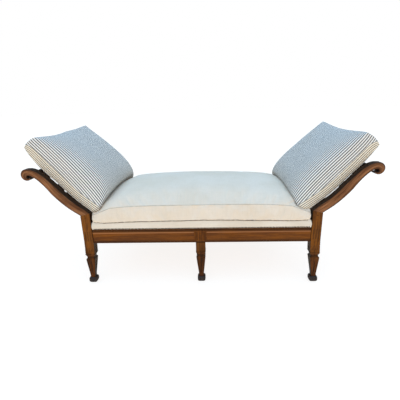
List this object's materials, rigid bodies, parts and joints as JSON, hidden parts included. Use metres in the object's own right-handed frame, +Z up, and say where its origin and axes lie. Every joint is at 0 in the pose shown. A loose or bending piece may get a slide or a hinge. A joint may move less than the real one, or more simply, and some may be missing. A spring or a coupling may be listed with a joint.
{
  "type": "recamier",
  "caption": "Daybed on tapered legs with carved feet, scrolled slatted arms at both ends, a nailed linen deck, a loose box seat cushion and a plump striped pillow leaning on each arm.",
  "frame": {"origin": "on the floor, under the middle of the object", "axes": "+Z up; -Y is the front that the picture shows; +X runs along the seat to the picture's right"},
  "size_m": [2.014, 0.7558, 0.912],
  "materials": {
    "polished_wood": "warm brown walnut, worn satin wax",
    "dark_wood": "dark stained, carved",
    "plain_wood": "unfinished hardwood",
    "linen": "cream linen, plain weave",
    "ticking": "off-white ticking with narrow charcoal stripes",
    "webbing": "jute webbing",
    "hessian": "open hessian",
    "padding": "cotton felt padding",
    "nail_metal": "antique brass, dark",
    "screw_metal": "zinc plated"
  },
  "bodies": {
    "frame": {"front_rail": "polished_wood", "back_rail": "polished_wood", "left_end_rail": "polished_wood", "right_end_rail": "polished_wood", "cross_bearer": "polished_wood", "front_left_leg": "polished_wood", "front_right_leg": "polished_wood", "back_left_leg": "polished_wood", "back_right_leg": "polished_wood", "front_middle_leg": "polished_wood", "back_middle_leg": "polished_wood", "front_left_foot": "dark_wood", "front_right_foot": "dark_wood", "back_left_foot": "dark_wood", "back_right_foot": "dark_wood", "front_middle_foot": "dark_wood", "back_middle_foot": "dark_wood", "foot_dowels": "plain_wood", "front_left_arm": "polished_wood", "front_right_arm": "polished_wood", "back_left_arm": "polished_wood", "back_right_arm": "polished_wood", "arm_pegs": "dark_wood", "left_crest_slat": "polished_wood", "left_upper_slat": "polished_wood", "left_lower_slat": "polished_wood", "right_crest_slat": "polished_wood", "right_upper_slat": "polished_wood", "right_lower_slat": "polished_wood", "front_tablet": "polished_wood", "back_tablet": "polished_wood", "corner_blocks": "plain_wood", "corner_screws": "screw_metal", "webbing_cross_straps": "webbing", "webbing_long_straps": "webbing", "hessian": "hessian", "deck_pad": "padding", "deck_cover": "linen", "front_nails": "nail_metal", "back_nails": "nail_metal", "left_end_nails": "nail_metal", "right_end_nails": "nail_metal"},
    "seat": {"seat_cushion": "linen"},
    "pillow_at_left": {"left_pillow": "ticking"},
    "pillow_at_right": {"right_pillow": "ticking"}
  },
  "joints": [
    {"name": "seat_lift", "type": "slide", "parent": "frame", "child": "seat", "axis": [0, 0, 1], "range_m": [0, 0.25]},
    {"name": "left_pillow_pull", "type": "slide", "parent": "seat", "child": "pillow_at_left", "axis": [0.6871, 0, 0.7266], "range_m": [0, 0.2]},
    {"name": "right_pillow_pull", "type": "slide", "parent": "seat", "child": "pillow_at_right", "axis": [-0.6871, 0, 0.7266], "range_m": [0, 0.2]}
  ]
}
